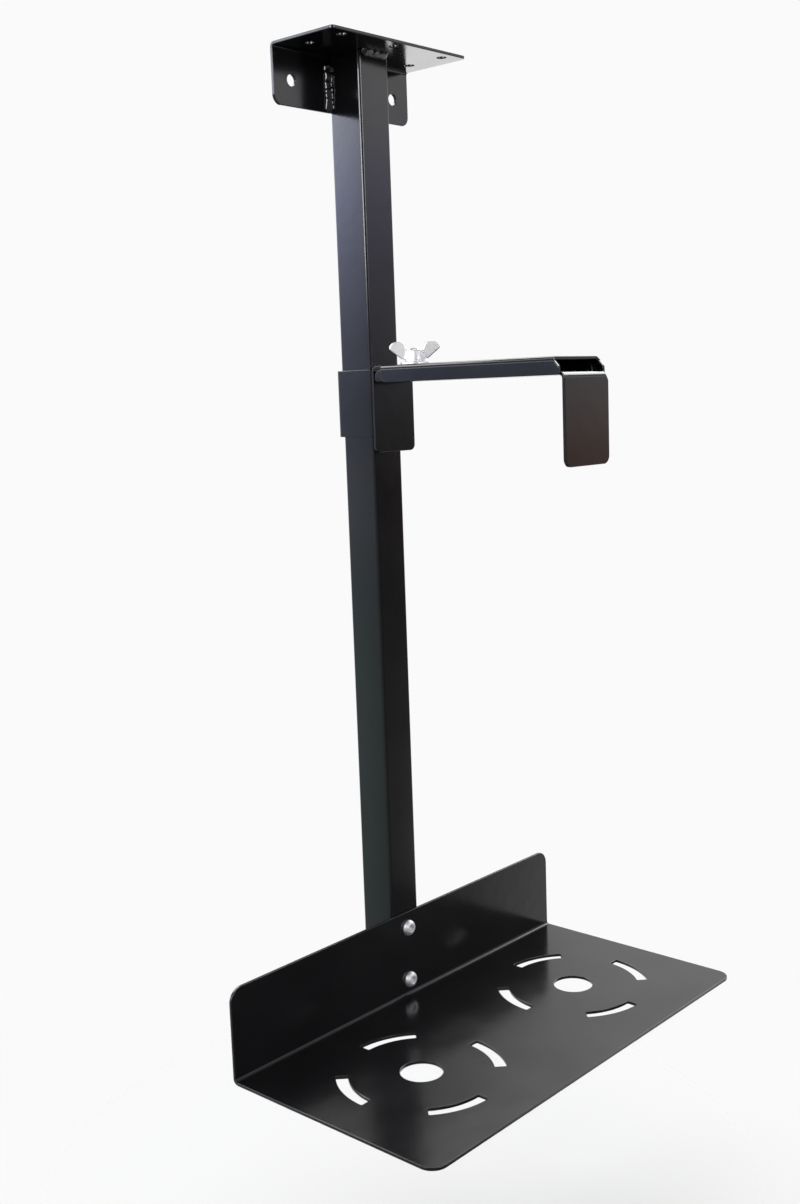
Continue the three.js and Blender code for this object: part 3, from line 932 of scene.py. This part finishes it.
def button_head(width, tall, socket, deep):
    """A domed head on +Z with a hexagon socket, seated on zero."""
    half = width / 2
    neck = THREAD - THREAD_PLAY
    rings = [(neck, -0.6), (neck, 0.0), (half - 0.25, 0.0), (half - 0.05, 0.12)]
    flat = socket / 2 + 0.75
    for k in range(11):
        turn = math.pi / 2 * k / 10
        rings.append((flat + (half - flat) * math.cos(turn), 0.35 + (tall - 0.35) * math.sin(turn)))
    rings.append((lambda turn: hex_radius(socket + 0.5, turn), tall))
    rings.append((lambda turn: hex_radius(socket, turn), tall - 0.25))
    rings.append((lambda turn: hex_radius(socket, turn), tall - deep))
    rings.append((0.15, tall - deep - 0.6))
    return rings_along(rings, 6 * HEX_STEPS)


# Welds

def weld_bead(leg, length, seed, ripple=2.2, slices=12, around=20):
    """A fillet along Z in the corner between +X and +Y: stacked ripples, uneven legs, cold ends."""
    pick = random.Random(seed)
    offset = Vector((pick.uniform(0, 99), pick.uniform(0, 99), pick.uniform(0, 99)))
    count = round(length / ripple * slices)
    places, faces = [], []
    for s in range(count + 1):
        z = length * s / count
        end = min(1, min(z, length - z) / leg)
        cold = min(1, math.sqrt(max(0, 1 - (1 - end) ** 2)) + 0.12)
        drift = noise.noise(offset + Vector((0, 0, z * 0.18)))
        for k in range(around + 1):
            turn = math.pi / 2 * k / around
            lag = 0.55 * leg * math.sin(2 * turn) ** 0.8 if 0 < k < around else 0
            phase = ((z + lag) / (ripple * (1 + 0.12 * drift))) % 1
            step = 0.012 * (1 - phase) ** 1.6
            wobble = 0.06 * drift * math.cos(2 * turn)
            lump = 0.1 * noise.noise(offset + Vector((turn * 0.9, 0, z * 0.3)))
            section = 0.9 - 0.12 * math.sin(2 * turn) ** 2
            reach = leg * min(1, cold * (section + step + lump))
            places.append(Vector((
                min(leg, max(reach * math.cos(turn) * (1 + wobble), 0)),
                min(leg, max(reach * math.sin(turn) * (1 - wobble), 0)), z,
            )))
        places.append(Vector((0, 0, z)))
    size = around + 2
    for s in range(count):
        for k in range(size):
            a, b = s * size + k, s * size + (k + 1) % size
            faces.append([a, b, b + size, a + size])
    faces.append(list(range(size))[::-1])
    faces.append([count * size + k for k in range(size)])
    return places, None, faces


def lay_weld(node, first, second, weld, seed, ripple=2.2):
    """A bead in the corner of a CAD weld's box, with its legs along two directions."""
    low, high = (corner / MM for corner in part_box(node))
    first, second = Vector(first), Vector(second)
    along = first.cross(second)
    way = first + second + along
    origin = Vector([low[n] if way[n] > 0 else high[n] for n in range(3)])
    size = high - low
    leg, length = abs(size.dot(first)), abs(size.dot(along))
    matrix = Matrix.Translation(origin) @ Matrix((first, second, along)).transposed().to_4x4()
    settle(make(node, moved(weld_bead(leg, length, seed, ripple), matrix), weld), WELD_SMOOTH)


# The pieces

def build_bracket(coat):
    bend = Bend(1, PLATE_BACK - SHEET - PLATE_BEND, 1, -1, PLATE_BEND)
    back = bend.start + bend.flat(PLATE_DROP - SHEET / 2)
    outer = box_outline(-PLATE_SIDE, PLATE_SIDE, PLATE_FRONT, back, PLATE_CORNERS)
    holes = [round_hole(x, y, DESK_HOLE) for x, y in DESK_HOLES]
    level = bend.start + bend.flat(WALL_HOLE_DROP - SHEET / 2)
    holes += [round_hole(x, level, WALL_HOLE) for x in WALL_HOLES]
    make("top_bracket", shifted(bent_sheet(outer, holes, [bend]), 0, 0, -SHEET / 2), coat)


def build_tray(coat):
    bend = Bend(1, TRAY_BACK - SHEET - TRAY_BEND, 1, 1, TRAY_BEND)
    back = bend.start + bend.flat(TRAY_RISE - SHEET / 2)
    radii = [TRAY_CORNER, TRAY_CORNER, TRAY_FLANGE_CORNER, TRAY_FLANGE_CORNER]
    outer = box_outline(-TRAY_SIDE, TRAY_SIDE, TRAY_FRONT, back, radii)
    sweep = math.radians(VENT_ANGLE)
    holes = []
    for x in VENTS:
        holes.append(round_hole(x, VENT_BACK, VENT_HOLE, 72))
        for n in range(4):
            first = math.radians(VENT_FIRST + 90 * n)
            holes.append(arc_hole(x, VENT_BACK, VENT_INNER, VENT_WIDE, first, sweep))
    make("tray", shifted(bent_sheet(outer, holes, [bend]), 0, 0, TUBE_FOOT - SHEET / 2), coat)


def build_fixed_arm(coat):
    start = ARM_SIDE - SHEET - ARM_BEND

    def on_rail(u, v):
        return v < ARM_START + 0.01

    def on_jaw(u, v):
        return INNER_JAW[0] - 0.01 < u < INNER_JAW[1] + 0.01

    left = Bend(0, -start, -1, -1, ARM_BEND, on_rail)
    right = Bend(0, start, 1, -1, ARM_BEND, on_rail)
    jaw = Bend(1, -SLEEVE / 2 - SHEET - JAW_BEND, 1, -1, JAW_BEND, on_jaw)
    rim = start + left.flat(ARM_TALL - SHEET / 2)
    foot = jaw.start + jaw.flat(INNER_JAW_TALL - SHEET / 2)
    # Corners (across, along, radius): each rail slants at its outer end and ends round inside
    rail = [
        (start + 1.2, ARM_END + 4.2, 3.0), (rim - 4.6, ARM_END, 3.2), (rim, ARM_END, 0.6),
        (rim, ARM_START, 4.0),
    ]
    near, far = INNER_JAW
    tongue = [(far, ARM_START, 0.9), (far, foot, 4.0), (near, foot, 4.0), (near, ARM_START, 0.9)]
    corners = rail + tongue + [(-u, v, r) for u, v, r in reversed(rail)]
    sheet = bent_sheet(rounded(corners), [long_hole(0, *TRACK, TRACK_WIDE)], [left, right, jaw])
    make("fixed_arm", shifted(sheet, 0, 0, SLEEVE_TOP + SHEET / 2), coat)


def build_sliding_arm(coat):
    floor = SLEEVE_TOP + SHEET - ARM_TALL + SHEET / 2
    start = SLIDE_SIDE - SHEET - ARM_BEND

    def on_rail(u, v):
        return v > SLIDE_TOE - 0.7

    left = Bend(0, -start, -1, 1, ARM_BEND, on_rail)
    right = Bend(0, start, 1, 1, ARM_BEND, on_rail)
    jaw = Bend(1, ARM_END - 0.5 + JAW_BEND, -1, -1, JAW_BEND)
    rim = start + left.flat(SLIDE_RIM - floor)
    foot = jaw.start - jaw.flat(floor - SLEEVE_TOP - SHEET + OUTER_JAW_TALL)
    low_shoulder = jaw.start - jaw.flat(OUTER_JAW_SHOULDER)
    top_shoulder = jaw.start - jaw.length * 2 / 3
    # Corners (across, along, radius): a notch parts each rail from the jaw, wider at the right
    notch = start - 0.4
    rail = [
        (SLIDE_SIDE, SLIDE_TOE - 1.4, 0.5), (notch, SLIDE_TOE - 1.4, 0.5), (notch, SLIDE_TOE, 0.5),
        (rim, SLIDE_TOE, 4.6), (rim, SLIDE_START, 4.0),
    ]
    flared = [
        (OUTER_JAW_RIGHT, foot, 5.0), (OUTER_JAW_RIGHT, low_shoulder, 1.2),
        (SLIDE_SIDE, top_shoulder, 1.0),
    ]
    corners = flared + rail + [(-u, v, r) for u, v, r in reversed(rail)]
    corners.append((-SLIDE_SIDE, foot, 5.0))
    sheet = bent_sheet(rounded(corners), [], [left, right, jaw])
    make("sliding_arm", shifted(sheet, 0, 0, floor), coat)


def build_tray_bolts(zinc):
    front = Matrix.Rotation(math.pi / 2, 4, "X")
    rear = Matrix.Rotation(-math.pi / 2, 4, "X")
    tail = SHEET + TUBE + WASHER_TALL + NUT_TALL + BOLT_TAIL
    head = button_head(BUTTON_WIDE, BUTTON_TALL, SOCKET, SOCKET_DEEP)
    bolt = joined(head, thread(THREAD, -tail, -0.5))
    washer = ring(TRAY_WASHER, WASHER_BORE, WASHER_TALL)
    nut = hex_nut(NUT_FLATS, NUT_TALL, NUT_BORE)
    for level, name, turn in zip(BOLT_LEVELS, ("upper", "lower"), BOLT_TURNS):
        spin = Matrix.Rotation(turn, 4, "Z")
        seat = Matrix.Translation((0, TRAY_BACK - SHEET, level)) @ front @ spin
        settle(make("tray_bolt_" + name, moved(bolt, seat), zinc))
        seat = Matrix.Translation((0, TUBE / 2, level)) @ rear
        settle(make("tray_washer_" + name, moved(washer, seat), zinc))
        seat = Matrix.Translation((0, TUBE / 2 + WASHER_TALL, level)) @ rear
        settle(make("tray_nut_" + name, moved(nut, seat), zinc))


def build_lock(coat, zinc):
    middle = Matrix.Translation((0, 0, SLEEVE_TOP - SLEEVE_TALL / 2))
    middle = middle @ Matrix.Rotation(math.pi / 2, 4, "Y")
    seat = Matrix.Translation((0, 0, SLEEVE / 2))
    nut = hex_nut(NUT_FLATS, NUT_TALL, NUT_BORE)
    settle(make("lock_nut", moved(nut, middle @ seat), coat))

    def across(turn):
        return hex_radius(SCREW_FLATS, turn)

    def chamfer(turn):
        return SCREW_TALL - 0.5 * (across(turn) - SCREW_FACE)

    neck = THREAD - THREAD_PLAY
    head = rings_along([
        (neck, -0.4), (neck, 0), (SCREW_FACE, 0), (across, 0.25), (across, chamfer),
        (SCREW_FACE, SCREW_TALL), (SCREW_DIMPLE, SCREW_TALL),
        (SCREW_DIMPLE - 0.3, SCREW_TALL - 0.25),
    ], 6 * HEX_STEPS)
    under = SLEEVE / 2 + NUT_TALL + SCREW_OFF
    screw = joined(shifted(head, 0, 0, under), thread(THREAD, TUBE / 2 + 0.3, under - 0.2))
    settle(make("lock_screw", moved(screw, middle), zinc))


def build_clamp(zinc):
    floor = SLEEVE_TOP + SHEET - ARM_TALL + SHEET
    arm_top = SLEEVE_TOP + SHEET
    collar = rings_along([
        (COLLAR - 0.2, 0), (COLLAR, 0.2), (COLLAR, COLLAR_TALL - 0.2), (COLLAR - 0.2, COLLAR_TALL),
    ], 48)
    rod = thread(THREAD, floor + COLLAR_TALL - 0.2, arm_top + WASHER_TALL + HUB_TALL + STUD_TAIL)
    stud = joined(shifted(collar, 0, 0, floor), rod)
    settle(make("clamp_stud", shifted(stud, 0, STUD, 0), zinc))
    washer = ring(CLAMP_WASHER, WASHER_BORE, WASHER_TALL, 0.35)
    settle(make("clamp_washer", shifted(washer, 0, STUD, arm_top), zinc))
    bore, mouth = THREAD + THREAD_PLAY, THREAD + 0.5
    hub = rings_along([
        (mouth, 0), (HUB_FOOT - 0.3, 0), (HUB_FOOT, 0.4), (HUB_FOOT, HUB_TALL / 3),
        (HUB_NECK + 0.3, HUB_TALL - 0.5), (HUB_NECK - 0.2, HUB_TALL), (mouth, HUB_TALL),
        (bore, HUB_TALL - 0.5), (bore, 0.5),
    ], closed=True)
    blade = rounded([
        (HUB_NECK - 1, WING_ROOT[1] - 0.4, 0.8), (*WING_ROOT, 1.2), (WING, WING_TOE, 0.8),
        (WING, WING_TALL, 3.9), (WING * 0.45, WING_TALL, 3.4), (HUB_NECK - 1, HUB_TALL * 0.6, 0.8),
    ])
    wing = moved(bent_sheet(blade, [], [], WING_SHEET, 0.6), Matrix.Rotation(math.pi / 2, 4, "X"))
    other = moved(wing, Matrix.Rotation(math.pi, 4, "Z"))
    seat = Matrix.Translation((0, STUD, arm_top + WASHER_TALL)) @ Matrix.Rotation(WING_TURN, 4, "Z")
    nut = make("wing_nut", moved(joined(hub, wing, other), seat), zinc)
    voxel = nut.modifiers.new("voxel", "REMESH")
    voxel.mode = "VOXEL"
    voxel.voxel_size = WING_VOXEL * MM
    voxel.use_smooth_shade = True
    polish = nut.modifiers.new("polish", "SMOOTH")
    polish.factor = 0.5
    polish.iterations = 5


def build_welds(weld):
    lay_weld("bracket_weld_left", (-1, 0, 0), (0, -1, 0), weld, 3)
    lay_weld("bracket_weld_right", (1, 0, 0), (0, -1, 0), weld, 5)
    lay_weld("bracket_weld_front", (0, -1, 0), (0, 0, -1), weld, 8)
    lay_weld("sleeve_weld", (0, 0, -1), (0, 1, 0), weld, 11, 1.1)


def build():
    coat = powder_coat()
    zinc = zinc_plate()
    build_bracket(coat)
    build_tray(coat)
    bore = TUBE - 2 * TUBE_WALL
    upright = tube(TUBE, TUBE_CORNER, bore, TUBE_BORE_CORNER, TUBE_FOOT, TUBE_TOP)
    make("upright_tube", upright, coat)
    foot = SLEEVE_TOP - SLEEVE_TALL
    sleeve = tube(SLEEVE, SLEEVE_CORNER, SLEEVE_BORE, SLEEVE_BORE_CORNER, foot, SLEEVE_TOP)
    make("sleeve", sleeve, coat)
    build_fixed_arm(coat)
    build_sliding_arm(coat)
    build_tray_bolts(zinc)
    build_lock(coat, zinc)
    build_clamp(zinc)
    build_welds(weld_coat())
    cap = bent_sheet(square(TUBE, TUBE_CORNER), [], [], CAP_THICK, CAP_EDGE)
    make("tube_end_cap", shifted(cap, 0, 0, TUBE_FOOT - CAP_THICK / 2), moulded_plastic())


place_camera()
light_world()
pale_floor()
softbox("key", *KEY)
softbox("card", *CARD).visible_diffuse = False
build()

scene = bpy.context.scene
scene.view_settings.view_transform = "Standard"
